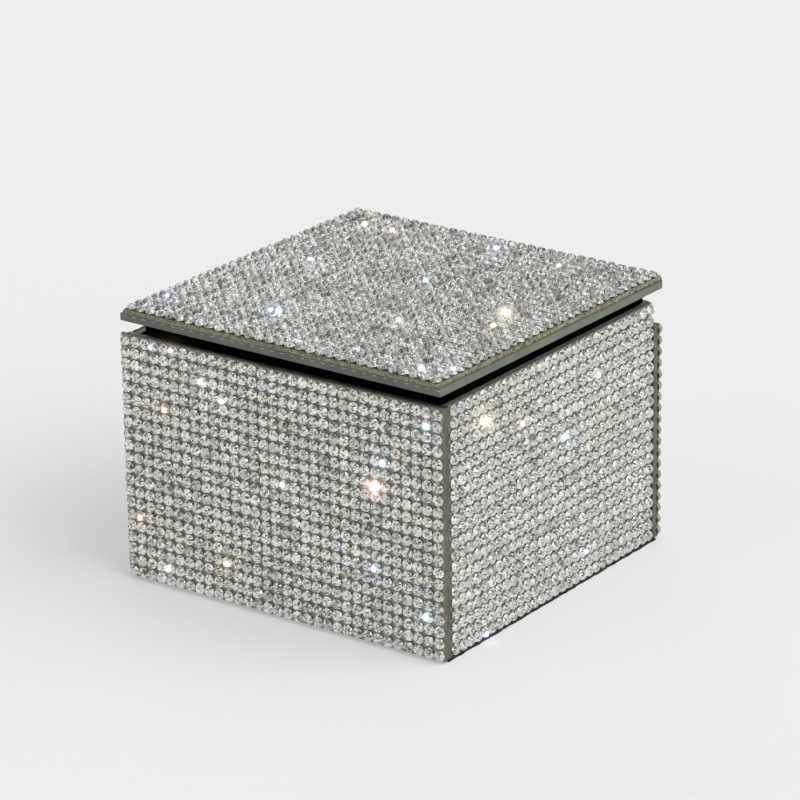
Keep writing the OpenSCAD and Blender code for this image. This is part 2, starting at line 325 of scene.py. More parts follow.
@dataclass(frozen=True)
class Finish:
    """A mottled, finely grained surface: the base of every finish here."""

    name: str
    low: Colour
    high: Colour
    mottle_scale: float = 300.0
    grain_scale: float = 3000.0
    grain_depth: float = 0.2
    roughness: float = 0.5
    metallic: float = 0.0
    coat: float = 0.0
    coat_roughness: float = 0.1
    sheen: float = 0.0
    sheen_roughness: float = 0.5
    specular: float = 0.5

    def material(self) -> bpy.types.Material:
        """Builds the material, or returns the one built before."""
        known = bpy.data.materials.get(self.name)
        if known:
            return known
        made = bpy.data.materials.new(self.name)
        made.use_nodes = True
        tree = made.node_tree
        shader = tree.nodes["Principled BSDF"]
        shader.inputs["Roughness"].default_value = self.roughness
        shader.inputs["Metallic"].default_value = self.metallic
        shader.inputs["Specular IOR Level"].default_value = self.specular
        shader.inputs["Coat Weight"].default_value = self.coat
        shader.inputs["Coat Roughness"].default_value = self.coat_roughness
        shader.inputs["Sheen Weight"].default_value = self.sheen
        shader.inputs["Sheen Roughness"].default_value = self.sheen_roughness
        made.diffuse_color = self.high
        self.colour(tree, shader)
        self.relief(tree, shader)
        return made

    def colour(self, tree: bpy.types.NodeTree, shader: bpy.types.Node) -> None:
        """Feeds the shader's base colour from the mottle group."""
        mottle = self.placed(tree, Effect.MOTTLE, Scale=self.mottle_scale, Low=self.low, High=self.high)
        tree.links.new(mottle.outputs["Color"], shader.inputs["Base Color"])

    def relief(self, tree: bpy.types.NodeTree, shader: bpy.types.Node) -> None:
        """Feeds the shader's normal from the grain group through a bump."""
        grain = self.placed(tree, Effect.GRAIN, Scale=self.grain_scale, Depth=self.grain_depth)
        bump = tree.nodes.new("ShaderNodeBump")
        bump.inputs["Strength"].default_value = 0.5
        bump.inputs["Distance"].default_value = 0.1 * MM
        tree.links.new(grain.outputs["Height"], bump.inputs["Height"])
        tree.links.new(bump.outputs["Normal"], shader.inputs["Normal"])

    @staticmethod
    def placed(tree: bpy.types.NodeTree, effect: Effect, **values: object) -> bpy.types.Node:
        """Places a shared group in a material with its own values.

        Args:
            tree: The material's tree.
            effect: Which group.
            values: The value of each named input.

        Returns:
            The group node.
        """
        node = tree.nodes.new("ShaderNodeGroup")
        node.node_tree = effect_tree(effect)
        for name, value in values.items():
            node.inputs[name].default_value = value
        return node

    def dress(self, piece: bpy.types.Object) -> bpy.types.Object:
        """Gives a piece this finish as its only material."""
        piece.data.materials.clear()
        piece.data.materials.append(self.material())
        return piece


@dataclass(frozen=True)
class FoiledCrystal(Finish):
    """Cut glass over a foil: every facet mirrors its own way under a clear polished surface."""

    def colour(self, tree: bpy.types.NodeTree, shader: bpy.types.Node) -> None:
        """Reads each facet's tone, and the painted glints that a few stones give off, from the mesh."""
        for attribute, socket in (("facet_tone", "Base Color"), ("facet_fire", "Emission Color")):
            source = tree.nodes.new("ShaderNodeAttribute")
            source.attribute_name = attribute
            tree.links.new(source.outputs["Color"], shader.inputs[socket])
        shader.inputs["Emission Strength"].default_value = 1.0

    def relief(self, tree: bpy.types.NodeTree, shader: bpy.types.Node) -> None:
        """Turns each facet's foil by the direction that the mesh keeps for it."""
        source = tree.nodes.new("ShaderNodeAttribute")
        source.attribute_name = "foil_normal"
        turned = tree.nodes.new("ShaderNodeVectorTransform")
        turned.vector_type = "NORMAL"
        turned.convert_from = "OBJECT"
        turned.convert_to = "WORLD"
        tree.links.new(source.outputs["Vector"], turned.inputs["Vector"])
        tree.links.new(turned.outputs["Vector"], shader.inputs["Normal"])


@dataclass(frozen=True)
class GlassWithReflectionDashes(Finish):
    """A ground glass edge with a row of small pale marks just under its top: painted reflections of the
    stones.
    """

    pitch: float = 3.145 * MM
    share: float = 0.32
    height: float = 0.0
    thickness: float = 0.07 * MM
    # The colour of the painted reflections.
    reflection_tint: Colour = (0.62, 0.58, 0.46, 1)

    def colour(self, tree: bpy.types.NodeTree, shader: bpy.types.Node) -> None:
        """Mixes the marks, painted reflections, over the mottled glass."""
        mottle = self.placed(tree, Effect.MOTTLE, Scale=self.mottle_scale, Low=self.low, High=self.high)
        dashes = self.placed(
            tree, Effect.DASHES, Pitch=self.pitch, Share=self.share, Height=self.height,
            Thickness=self.thickness,
        )
        blend = tree.nodes.new("ShaderNodeMix")
        blend.data_type = "RGBA"
        blend.inputs[7].default_value = self.reflection_tint
        tree.links.new(dashes.outputs["Mask"], blend.inputs["Factor"])
        tree.links.new(mottle.outputs["Color"], blend.inputs[6])
        tree.links.new(blend.outputs[2], shader.inputs["Base Color"])


CRYSTAL = FoiledCrystal(
    "cut_crystal", grey(0.8), grey(0.9), roughness=0.16, metallic=1.0, coat=1.0, coat_roughness=0.03
)
PEWTER = Finish(
    "pewter_cups", (0.20, 0.197, 0.158, 1), (0.36, 0.355, 0.29, 1), 700.0, 4000.0, 0.3, 0.42, 0.35
)
# A darker copy of the pewter for the lid's cups: painted shade between the lid's stones.
SHADED_PEWTER = Finish(
    "pewter_cups_painted_shade", (0.055, 0.052, 0.036, 1), (0.14, 0.13, 0.095, 1), 700.0, 4000.0, 0.3, 0.42, 0.35
)
# A darker copy of the web's colour for its side faces: painted shade.
SHADED_SHEET_EDGE = Finish(
    "sheet_edge_painted_shade", (0.075, 0.07, 0.048, 1), (0.15, 0.14, 0.10, 1), 1100.0, 3000.0, 0.6, 0.6, specular=0.3
)
GLASS_EDGE = Finish(
    "ground_glass_edge", (0.042, 0.043, 0.031, 1), (0.085, 0.086, 0.064, 1), 260.0, 2500.0, 0.2,
    0.4, 0.0, 0.25, 0.15,
)
LID_GLASS_EDGE = GlassWithReflectionDashes(
    "lid_glass_edge", (0.078, 0.093, 0.070, 1), (0.118, 0.131, 0.102, 1), 120.0, 2500.0, 0.08,
    0.3, 0.0, 0.3, 0.1,
)
OLIVE_GLUE = Finish(
    "olive_adhesive", (0.07, 0.065, 0.04, 1), (0.14, 0.13, 0.09, 1), 900.0, 1500.0, 0.5, 0.4, coat=0.3
)
AMBER = Finish(
    "amber_adhesive", (0.052, 0.051, 0.026, 1), (0.26, 0.248, 0.125, 1), 1300.0, 1200.0, 1.0, 0.25,
    coat=0.9, coat_roughness=0.08,
)
BLACK_BOARD = Finish(
    "black_painted_board", grey(0.0008), grey(0.002), 500.0, 2500.0, 0.5, 0.9, specular=0.0
)
FELT = Finish(
    "black_felt", grey(0.006), grey(0.018), 1200.0, 3500.0, 1.2, 1.0, sheen=0.15, specular=0.1
)
VELVET = Finish(
    "charcoal_velvet", (0.012, 0.012, 0.015, 1), (0.035, 0.035, 0.042, 1), 900.0, 4500.0, 1.0, 0.95,
    sheen=0.8, sheen_roughness=0.35,
)
BRASS = Finish(
    "rolled_brass", (0.62, 0.42, 0.15, 1), (0.82, 0.62, 0.28, 1), 400.0, 3000.0, 0.12, 0.24, 1.0
)


# -------------------------------------------------------------------------------------------- stones


@dataclass(frozen=True)
class CutStone:
    """A round flat-backed stone: a low table, star and kite facets, and a wall that sits in its cup."""

    radius: float = 1.52 * MM
    wall: float = 0.5 * MM
    height: float = 1.46 * MM
    inner: float = 0.46 * MM
    table: float = 0.88 * MM
    table_height: float = 1.40 * MM
    shoulder: float = 1.27 * MM
    shoulder_height: float = 1.05 * MM
    sectors: int = 8

    def mesh(self) -> bpy.types.Mesh:
        """Builds the stone from one wedge, spun round.

        Returns:
            A mesh with a few dozen faces.
        """
        bm = bmesh.new()
        half = math.pi / self.sectors

        def at(radius: float, angle: float, z: float) -> bmesh.types.BMVert:
            return bm.verts.new((radius * math.cos(angle), radius * math.sin(angle), z))

        top = at(0.0, 0.0, self.height)
        core = [at(self.inner, s * half, self.height - 0.02 * MM) for s in (-1, 1)]
        edge = [at(self.table, s * half, self.table_height) for s in (-1, 1)]
        middle = at(self.shoulder, 0.0, self.shoulder_height)
        rim = [at(self.radius, s * half, self.wall) for s in (-1, 0, 1)]
        foot = [at(self.radius * 0.97, s * half, 0.0) for s in (-1, 0, 1)]
        for corners in (
            (top, core[0], core[1]),
            (core[0], edge[0], edge[1], core[1]),
            (edge[0], middle, edge[1]),
            (edge[0], rim[0], middle),
            (edge[1], middle, rim[2]),
            (middle, rim[0], rim[1]),
            (middle, rim[1], rim[2]),
            (rim[0], foot[0], foot[1], rim[1]),
            (rim[1], foot[1], foot[2], rim[2]),
        ):
            bm.faces.new(corners)
        bmesh.ops.spin(
            bm, geom=bm.verts[:] + bm.edges[:] + bm.faces[:], cent=(0, 0, 0), axis=(0, 0, 1),
            angle=2 * math.pi * (self.sectors - 1) / self.sectors, steps=self.sectors - 1,
            use_duplicate=True, use_merge=False,
        )
        bmesh.ops.remove_doubles(bm, verts=bm.verts, dist=0.0005 * MM)
        bm.normal_update()
        mesh = bpy.data.meshes.new("cut_stone")
        bm.to_mesh(mesh)
        bm.free()
        return mesh

    def facets(self, mesh: bpy.types.Mesh) -> tuple[np.ndarray, np.ndarray, np.ndarray]:
        """Describes each facet of the stone's mesh.

        Args:
            mesh: The stone's mesh.

        Returns:
            Each facet's direction round the stone, its distance from the axis as a share of the radius,
            and its outward normal.
        """
        centre = np.array([p.center for p in mesh.polygons])
        normal = np.array([p.normal for p in mesh.polygons])
        return (
            np.arctan2(centre[:, 1], centre[:, 0]),
            np.hypot(centre[:, 0], centre[:, 1]) / self.radius,
            normal,
        )


class Glint(Enum):
    """Colours of the painted glints that a few stones give off."""

    WHITE = (1.0, 1.0, 0.98)
    GOLD = (1.0, 0.86, 0.48)
    AMBER = (1.0, 0.55, 0.18)
    ROSE = (1.0, 0.68, 0.58)
    CYAN = (0.42, 0.85, 1.0)
    BLUE = (0.30, 0.42, 1.0)
    VIOLET = (0.50, 0.42, 1.0)


@dataclass(frozen=True)
class Sparkle:
    """One stone with a painted glint, counted from the sheet's lower left."""

    column: int
    row: int
    glint: Glint
    power: float = 1.5

    def light(self, away: np.ndarray, chance: np.ndarray) -> np.ndarray:
        """The light at some distances from the glint: a small bright core in a faint halo.

        Args:
            away: Each facet's distance from the glint, in stones.
            chance: How well each facet catches the halo, from 0 to 1.

        Returns:
            One colour per facet.
        """
        core = np.where(away < 0.13 + 0.01 * self.power, self.power * 12.0, 0.0)
        halo = np.where(away < 2.0, 0.03 * self.power * np.exp(-1.4 * away), 0.0) * chance
        return (core + halo)[..., None] * np.array(self.glint.value)


# How far each foil leans, in degrees, from the stone's middle out to its rim, and how much facets differ.
FOIL_REACH = (0.0, 0.35, 0.6, 0.85, 1.0)
FOIL_TILT = (14.0, 16.0, 22.0, 30.0, 60.0)
TILT_SPREAD = 6.0
TURN_SPREAD = 20.0
WALL_REACH = 0.96
# The facets' tones, and the share of near-black facets, which are painted dark reflections, and of clear
# facets.
PLAIN_TONE = (0.52, 0.95)
DARK_REFLECTION_TONE = (0.12, 0.32)
DARK_REFLECTION_REACH = (0.3, 0.6, 0.9)
DARK_REFLECTION_SHARE = (0.30, 0.18, 0.07)
PALE_SHARE = 0.07
WALL_TONE = 0.4
CRYSTAL_TINT = (1.0, 0.998, 0.935)
STONE_HUE = 0.012
FACET_HUE = 0.02
HUE_AXIS = (-0.5, -0.3, 1.0)
VIOLET_FLASH = (0.92, 0.90, 1.12)
GOLD_FLASH = (1.02, 1.0, 0.78)


@dataclass
class Sheet:
    """One sheet of cups and stones, laid out on a face of the box."""

    name: str
    mesh_node: str
    crystal_node: str
    body: str
    columns: int
    rows: int
    across: Vector
    up: Vector
    seed: int
    yaw: float = 0.0
    stone: CutStone = field(default_factory=CutStone)
    sparkles: Sequence[Sparkle] = ()
    web_inset: float = 0.0
    cups: Finish = PEWTER
    rim: Finish = SHADED_SHEET_EDGE
    variety: float = 0.09

    def __post_init__(self) -> None:
        """Works out the sheet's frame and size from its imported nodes."""
        self.out = self.across.cross(self.up)
        low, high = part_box(self.mesh_node)
        stone_low, stone_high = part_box(self.crystal_node)
        self.centre = (low + high) / 2
        turn, size = Matrix.Rotation(self.yaw, 3, self.out), high - low
        wide, tall = abs(size.dot(self.across)), abs(size.dot(self.up))
        cos, sin = math.cos(self.yaw), abs(math.sin(self.yaw))
        self.width = (wide * cos - tall * sin) / (cos * cos - sin * sin)
        self.height = (tall * cos - wide * sin) / (cos * cos - sin * sin)
        self.depth = abs(size.dot(self.out))
        self.lift = abs((stone_high - stone_low).dot(self.out))
        self.across, self.up = turn @ self.across, turn @ self.up
        self.pitch = Vector((self.width / self.columns, self.height / self.rows))
        self.dice = np.random.default_rng(self.seed)

    @property
    def basis(self) -> Matrix:
        """The turn from the sheet's own axes to the box's."""
        return Matrix((self.across, self.up, self.out)).transposed()

    def spot(self, column: int, row: int, height: float) -> Vector:
        """The place of one stone's axis, counted from the lower left, at a height above the sheet's back."""
        offset = self.across * (self.pitch.x * (column + 0.5) - self.width / 2)
        offset += self.up * (self.pitch.y * (row + 0.5) - self.height / 2)
        return self.centre + offset + self.out * (height - self.depth / 2)

    def cells(self) -> Iterable[tuple[int, int]]:
        """Every column and row of the sheet, row by row."""
        return ((column, row) for row in range(self.rows) for column in range(self.columns))

    def build(self) -> None:
        """Makes the cup mesh and the stones of the sheet."""
        self.make_cups()
        self.make_stones()

    def make_cups(self) -> None:
        """Makes the net of cups: a thin web with a short round cup for each stone."""
        bm = bmesh.new()
        rim = self.stone.radius * 1.01
        bmesh.ops.create_circle(bm, cap_ends=False, segments=12, radius=rim)
        wall = bmesh.ops.extrude_edge_only(bm, edges=bm.edges[:])
        top = [g for g in wall["geom"] if isinstance(g, bmesh.types.BMVert)]
        bmesh.ops.translate(bm, verts=top, vec=(0, 0, self.depth * 0.98))
        lip = bmesh.ops.extrude_edge_only(bm, edges=[e for e in bm.edges if all(v in top for v in e.verts)])
        inner = [g for g in lip["geom"] if isinstance(g, bmesh.types.BMVert)]
        bmesh.ops.scale(bm, verts=inner, vec=(0.9, 0.9, 1.0))
        bmesh.ops.recalc_face_normals(bm, faces=bm.faces)
        cup = bpy.data.meshes.new("cup")
        bm.to_mesh(cup)
        bm.free()
        turn = self.basis.to_4x4()
        places = [Matrix.Translation(self.spot(c, r, 0.0)) @ turn for c, r in self.cells()]
        cups = scatter(cup, places, self.name + "_mesh")
        self.cups.dress(cups).data.materials.append(self.rim.material())
        bm = slab(
            Vector((self.web_inset - self.width / 2, -self.height / 2, 0.0)),
            Vector((self.width / 2 - self.web_inset, self.height / 2, self.depth * 0.8)),
        )
        bm.normal_update()
        # The web's side faces take the rim's finish: painted shade on the body's sheets, amber adhesive on
        # the lid.
        for face in bm.faces:
            face.material_index = int(abs(face.normal.z) < 0.5)
        place = Matrix.Translation(self.centre - self.out * self.depth / 2) @ turn
        bmesh.ops.transform(bm, matrix=place, verts=bm.verts)
        bm.from_mesh(cups.data)
        bm.to_mesh(cups.data)
        bm.free()
        bpy.data.meshes.remove(cup)
        settle(cups, self.body, "cup_mesh", self.mesh_node)

    def make_stones(self) -> None:
        """Makes the stones, each with its own small turn and tilt."""
        unit = self.stone.mesh()
        seat = self.depth + self.lift * 0.97 - self.stone.height
        places, turns = [], []
        for column, row in self.cells():
            tilt = Matrix.Rotation(self.dice.normal(0.0, 0.02), 3, "X")
            tilt = Matrix.Rotation(self.dice.normal(0.0, 0.02), 3, "Y") @ tilt
            turn = tilt @ Matrix.Rotation(self.dice.uniform(0.0, math.tau), 3, "Z")
            shift = Vector((*self.dice.normal(0.0, 0.02 * MM, 2), 0.0))
            where = self.spot(column, row, seat) + self.basis @ shift
            whole = self.basis @ turn
            turns.append(np.array(whole))
            places.append(Matrix.Translation(where) @ whole.to_4x4())
        stones = scatter(unit, places, self.name + "_stones")
        self.cut_foils(stones.data, unit, np.array(turns))
        bpy.data.meshes.remove(unit)
        settle(CRYSTAL.dress(stones), self.body, "crystal", self.crystal_node)

    def cut_foils(self, mesh: bpy.types.Mesh, unit: bpy.types.Mesh, turns: np.ndarray) -> None:
        """Writes each facet's foil direction, tone and painted glint on the mesh.

        Args:
            mesh: The joined stones.
            unit: One stone.
            turns: Each stone's turn, as 3 by 3 matrices.
        """
        angle, reach, normal = self.stone.facets(unit)
        count, each = len(turns), len(angle)
        tilt = np.radians(np.interp(reach, FOIL_REACH, FOIL_TILT))
        flip = np.where(reach < 0.5, np.pi, 0.0)
        tilt = tilt + self.dice.normal(0.0, math.radians(TILT_SPREAD), (count, each))
        round_ = angle + flip + self.dice.normal(0.0, math.radians(TURN_SPREAD), (count, each))
        local = np.stack((np.sin(tilt) * np.cos(round_), np.sin(tilt) * np.sin(round_), np.cos(tilt)), -1)
        wall = reach > WALL_REACH
        local[:, wall] = normal[wall]
        turned = np.einsum("nij,nkj->nki", turns, local)
        self.write(mesh, "foil_normal", "FLOAT_VECTOR", "vector", turned)
        self.write(mesh, "facet_tone", "FLOAT_COLOR", "color", self.tones(reach, wall, count))
        self.write(mesh, "facet_fire", "FLOAT_COLOR", "color", self.fires(angle, reach, count))

    def tones(self, reach: np.ndarray, wall: np.ndarray, count: int) -> np.ndarray:
        """Gives each facet its tone: a light rim, a livelier middle and a few near-black facets, which are
        painted dark reflections.

        Args:
            reach: Each facet's distance from the axis, as a share of the radius.
            wall: Which facets are the short wall.
            count: How many stones there are.

        Returns:
            One colour per facet.
        """
        each = len(reach)
        tone = self.dice.uniform(*PLAIN_TONE, (count, each))
        # Painted dark reflections: some facets are made near-black, more of them towards the stone's middle.
        dark_reflection = self.dice.random((count, each)) < np.interp(reach, DARK_REFLECTION_REACH, DARK_REFLECTION_SHARE)
        tone[dark_reflection] = self.dice.uniform(*DARK_REFLECTION_TONE, int(dark_reflection.sum()))
        pale = self.dice.random((count, each)) < PALE_SHARE
        tone[pale] = 1.0
        tone[:, wall] = WALL_TONE
        tone *= self.dice.normal(1.0, self.variety, (count, 1))
        hue = self.dice.normal(0.0, 1.0, (count, 1, 1)) * STONE_HUE
        hue = hue + self.dice.normal(0.0, FACET_HUE, (count, each, 1))
        tint = np.array(CRYSTAL_TINT) + hue * np.array(HUE_AXIS)
        chance = self.dice.random((count, each, 1))
        tint = np.where(chance < 0.05, tint * np.array(VIOLET_FLASH), tint)
        tint = np.where(chance > 0.96, tint * np.array(GOLD_FLASH), tint)
        colour = np.ones((count, each, 4))
        colour[..., :3] = np.clip(tone[..., None] * tint, 0.0, 1.0)
        return colour

    def fires(self, angle: np.ndarray, reach: np.ndarray, count: int) -> np.ndarray:
        """Paints glints on a few facets of the stones: those facets glow.

        Args:
            angle: Each facet's direction round the stone.
            reach: Each facet's distance from the axis, as a share of the radius.
            count: How many stones there are.

        Returns:
            One colour per facet, black on most.
        """
        each = len(reach)
        colour = np.zeros((count, each, 4))
        colour[..., 3] = 1.0
        column, row = np.arange(count) % self.columns, np.arange(count) // self.columns
        for sparkle in self.sparkles:
            toward = self.dice.uniform(-math.pi, math.pi)
            far = (column - sparkle.column)[:, None] + 0.5 * reach * np.cos(angle) - 0.12 * math.cos(toward)
            high = (row - sparkle.row)[:, None] + 0.5 * reach * np.sin(angle) - 0.12 * math.sin(toward)
            colour[..., :3] += sparkle.light(np.hypot(far, high), self.dice.uniform(0.2, 1.0, (count, each)))
        return colour

    @staticmethod
    def write(mesh: bpy.types.Mesh, name: str, kind: str, part: str, values: np.ndarray) -> None:
        """Stores one value per face under a name."""
        mesh.attributes.new(name, kind, "FACE")
        mesh.attributes[name].data.foreach_set(part, values.astype(np.float32).ravel())


@dataclass(frozen=True)
class StoneCover:
    """All the sheets of cups and stones."""

    lid_yaw: float = math.radians(-0.7)

    def build(self) -> None:
        """Makes the six sheets."""
        right, back, up = Vector((1, 0, 0)), Vector((0, 1, 0)), Vector((0, 0, 1))
        for sheet in (
            Sheet(
                "front_left", "front_mesh_left", "front_crystals_left", "body", 14, 21, right, up, 11,
                sparkles=(
                    Sparkle(8, 18, Glint.WHITE, 2.5), Sparkle(4, 15, Glint.AMBER, 2.0),
                    Sparkle(10, 3, Glint.AMBER, 2.0), Sparkle(1, 5, Glint.AMBER, 1.5),
                    Sparkle(3, 20, Glint.VIOLET, 0.6), Sparkle(5, 20, Glint.GOLD, 0.7),
                    Sparkle(10, 17, Glint.WHITE), Sparkle(4, 1, Glint.WHITE, 2.5),
                ),
            ),
            Sheet(
                "front_right", "front_mesh_right", "front_crystals_right", "body", 18, 21, right, up, 12,
                sparkles=(
                    Sparkle(11, 13, Glint.ROSE, 9.0), Sparkle(12, 15, Glint.CYAN, 3.0),
                    Sparkle(11, 6, Glint.BLUE, 2.5), Sparkle(16, 19, Glint.CYAN),
                    Sparkle(16, 3, Glint.CYAN, 2.5), Sparkle(2, 11, Glint.WHITE, 1.0),
                ),
            ),
            Sheet(
                "right_side", "right_mesh", "right_crystals", "body", 29, 21, back, up, 13,
                sparkles=(
                    Sparkle(4, 18, Glint.GOLD, 9.0), Sparkle(15, 13, Glint.CYAN, 3.0),
                    Sparkle(4, 0, Glint.VIOLET, 2.5), Sparkle(20, 17, Glint.WHITE, 2.0),
                    Sparkle(9, 16, Glint.GOLD, 3.0), Sparkle(18, 2, Glint.VIOLET),
                ),
            ),
            Sheet("left_side", "left_mesh", "left_crystals", "body", 29, 21, -back, up, 14),
            Sheet(
                "back", "back_mesh", "back_crystals", "body", 32, 19, -right, up, 15, web_inset=0.6 * MM
            ),
            Sheet(
                "lid", "lid_mesh", "lid_crystals", "lid", 31, 31, right, back, 16, self.lid_yaw,
                # The lid's cups carry painted shade; its rim is amber adhesive.
                cups=SHADED_PEWTER, rim=AMBER, variety=0.2,
                sparkles=(
                    Sparkle(10, 5, Glint.BLUE, 2.5), Sparkle(11, 5, Glint.CYAN, 2.5),
                    Sparkle(1, 3, Glint.BLUE, 2.0), Sparkle(3, 27, Glint.GOLD, 3.0),
                    Sparkle(6, 27, Glint.GOLD, 2.0), Sparkle(16, 28, Glint.BLUE, 2.5),
                    Sparkle(23, 27, Glint.GOLD, 2.0), Sparkle(26, 15, Glint.GOLD, 14.0),
                    Sparkle(27, 12, Glint.GOLD, 3.0), Sparkle(20, 9, Glint.WHITE, 2.0),
                    Sparkle(30, 2, Glint.CYAN, 2.5), Sparkle(28, 1, Glint.WHITE, 3.0),
                    Sparkle(16, 18, Glint.CYAN, 1.5), Sparkle(5, 17, Glint.CYAN, 2.5),
                ),
            ),
        ):
            sheet.build()


# --------------------------------------------------------------------------------------- glass, boards


@dataclass(frozen=True)
class GlassWork:
    """The mirror-glass panels, with their edges lightly broken, and the adhesive behind the mesh."""

    arris: float = 0.12 * MM
    reflection_drop: float = 0.45 * MM
    bead_reach: float = 0.28 * MM
    side_reach: float = 0.72 * MM
    bead_steps: int = 160

    def build(self, nodes: dict[str, bpy.types.Object]) -> None:
        """Makes the five panels and the films.

        Args:
            nodes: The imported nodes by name.
        """
        for name in ("front_glass", "back_glass", "left_glass", "right_glass"):
            self.panel(nodes[name], GLASS_EDGE, "body")
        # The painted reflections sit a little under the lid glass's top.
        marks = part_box("lid_glass")[1].z - self.reflection_drop
        self.panel(nodes["lid_glass"], replace(LID_GLASS_EDGE, height=marks), "lid")
        for name in ("front_film", "back_film", "left_film", "right_film", "lid_film"):
            (AMBER if name == "lid_film" else OLIVE_GLUE).dress(nodes[name])
        self.bead(nodes["lid_film"])

    def bead(self, film: bpy.types.Object) -> None:
        """Makes the lid's film with the uneven bead of adhesive squeezed out round its edge.

        Args:
            film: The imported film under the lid's mesh.
        """
        bm = merged_copy(film)
        base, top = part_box(film.name)[0].z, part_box("lid_mesh")[1].z
        corners = [v.co.copy() for v in max(bm.faces, key=lambda f: f.calc_center_median().z).verts]
        centre = sum(corners, Vector()) / len(corners)
        for start, end in zip(corners, corners[1:] + corners[:1]):
            along = end - start
            out = along.cross(Vector((0, 0, 1))).normalized()
            if out.dot(start - centre) < 0:
                out.negate()
            widest = self.bead_reach if abs(out.y) > 0.5 else self.side_reach
            rows = []
            for step in range(self.bead_steps + 1):
                spot = start + along * step / self.bead_steps
                swell = 0.4 + 1.1 * noise.noise(spot * 140.0) + 0.7 * noise.noise(spot * 700.0)
                swell = min(1.0, max(0.25, swell))
                reach = out * widest * swell
                tall = (top - base) * (0.2 + 0.75 * swell)
                rows.append([
                    bm.verts.new((spot.x + reach.x * across, spot.y + reach.y * across, base + tall * rise))
                    for across, rise in ((0.0, 1.0), (0.7, 0.8), (1.0, 0.35), (0.9, 0.0))
                ])
            for here, there in zip(rows, rows[1:]):
                for low, high in ((0, 1), (1, 2), (2, 3)):
                    bm.faces.new((here[low], here[high], there[high], there[low]))
        piece = piece_from(bm, "lid_film_bead")
        settle(AMBER.dress(piece), "lid", "adhesive", film.name)

    def panel(self, node: bpy.types.Object, finish: Finish, body: str) -> None:
        """Makes one panel with broken edges.

        Args:
            node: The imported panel.
            finish: What it is dressed in.
            body: The body it moves with.
        """
        bm = merged_copy(node)
        soften(bm, self.arris, 1)
        piece = piece_from(bm, node.name + "_panel")
        settle(finish.dress(piece), body, "mirror_glass", node.name)


@dataclass(frozen=True)
class Boards:
    """The black carcass, the lid board and the felt under the base."""

    felt_cuts: int = 70
    felt_rag: float = 0.4 * MM

    def build(self, nodes: dict[str, bpy.types.Object]) -> None:
        """Dresses the boards and the felt.

        Args:
            nodes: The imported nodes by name.
        """
        for name in ("front_wall", "back_wall", "left_wall", "right_wall", "base_board", "lid_board"):
            BLACK_BOARD.dress(nodes[name])
        self.felt(nodes["base_felt"])

    def felt(self, node: bpy.types.Object) -> None:
        """Makes the felt with a slightly ragged cut edge.

        Args:
            node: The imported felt.
        """
        low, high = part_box(node.name)
        bm = slab(low, high)
        level = [e for e in bm.edges if abs(e.verts[0].co.z - e.verts[1].co.z) < 0.001 * MM]
        bmesh.ops.subdivide_edges(bm, edges=level, cuts=self.felt_cuts, use_grid_fill=True)
        for vert in bm.verts:
            for axis in (0, 1):
                if min(vert.co[axis] - low[axis], high[axis] - vert.co[axis]) < 0.01 * MM:
                    pull = 0.5 + noise.noise(vert.co * 420.0)
                    vert.co[axis] -= math.copysign(self.felt_rag * max(0.0, pull), vert.co[axis])
        piece = piece_from(bm, "base_felt_ragged")
        settle(FELT.dress(piece), "body", "felt", node.name)


@dataclass(frozen=True)
class Linings:
    """The velvet on the walls and the lid, and the padded floor."""

    edge: float = 0.3 * MM
    crown: float = 1.1 * MM
    cells: int = 36

    def build(self, nodes: dict[str, bpy.types.Object]) -> None:
        """Makes the linings and the floor.

        Args:
            nodes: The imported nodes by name.
        """
        for name in ("front_lining", "back_lining", "left_lining", "right_lining"):
            self.pad(nodes[name], "body")
        self.pad(nodes["lid_lining"], "lid")
        self.floor(nodes["floor_cushion"])

    def pad(self, node: bpy.types.Object, body: str) -> None:
        """Makes one velvet-covered board with soft edges."""
        bm = merged_copy(node)
        soften(bm, self.edge, 3)
        piece = piece_from(bm, node.name + "_velvet")
        for polygon in piece.data.polygons:
            polygon.use_smooth = True
        settle(VELVET.dress(piece), body, "velvet", node.name)

    def floor(self, node: bpy.types.Object) -> None:
        """Makes the padded floor: crowned in the middle and drawn down at its edges."""
        low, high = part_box(node.name)
        bm = slab(low, high)
        level = [e for e in bm.edges if abs(e.verts[0].co.z - e.verts[1].co.z) < 0.001 * MM]
        bmesh.ops.subdivide_edges(bm, edges=level, cuts=self.cells, use_grid_fill=True)
        middle, half = (low + high) / 2, (high - low) / 2
        for vert in bm.verts:
            if vert.co.z > middle.z:
                x, y = (vert.co.x - middle.x) / half.x, (vert.co.y - middle.y) / half.y
                swell = (1 - x**8) * (1 - y**8)
                ripple = noise.noise(vert.co * 90.0) * 0.12 * MM
                vert.co.z += (swell - 1) * 1.2 * MM + swell * ripple
                vert.co.z = min(vert.co.z, high.z + self.crown)
        piece = piece_from(bm, "floor_cushion_pad")
        for polygon in piece.data.polygons:
            polygon.use_smooth = True
        settle(VELVET.dress(piece), "body", "velvet", node.name)


